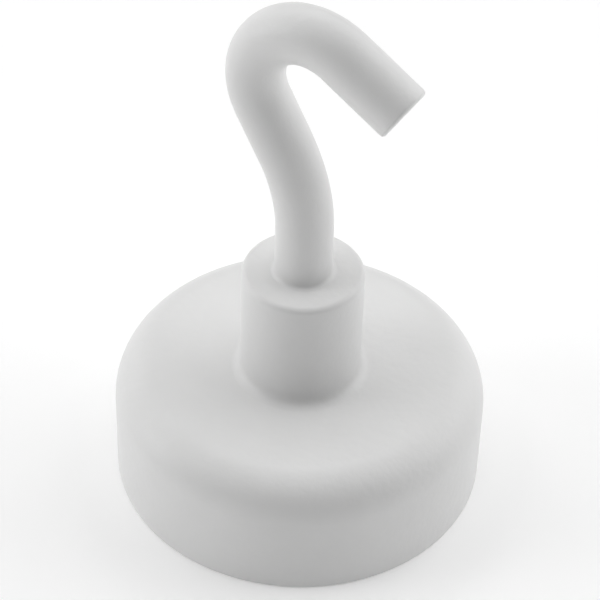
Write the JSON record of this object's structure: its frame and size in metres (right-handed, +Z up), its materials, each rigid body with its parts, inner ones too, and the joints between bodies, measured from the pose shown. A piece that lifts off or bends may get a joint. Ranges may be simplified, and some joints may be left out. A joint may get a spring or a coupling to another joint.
{
  "type": "hook magnet",
  "caption": "Round pot magnet with a tall threaded bush on its crown and an open wire hook screwed into the bush.",
  "frame": {"origin": "centre of the pot's rim plane, which is the holding face", "axes": "+Z up the thread's axis, from the holding face towards the hook; +X towards the hook's tip, and the hook's wire lies in the XZ plane"},
  "size_m": [0.025, 0.025, 0.0377],
  "materials": {
    "white_coat": "satin powder coat on steel",
    "nickel_plate": "nickel plate on sintered neodymium, fine scuffs",
    "potting_resin": "cast epoxy, slightly hollow surface",
    "adhesive": "cured adhesive film"
  },
  "bodies": {
    "magnet": {"steel_pot": "white_coat", "threaded_bush": "white_coat", "magnet_disc": "nickel_plate", "bond_layer": "adhesive", "epoxy_ring": "potting_resin"},
    "hook": {"wire_hook": "white_coat"}
  },
  "joints": [
    {"name": "hook_turn", "type": "hinge", "parent": "magnet", "child": "hook", "pos_m": [0, 0, 0.0171], "axis": [0, 0, 1], "range_deg": [-180, 180]}
  ]
}
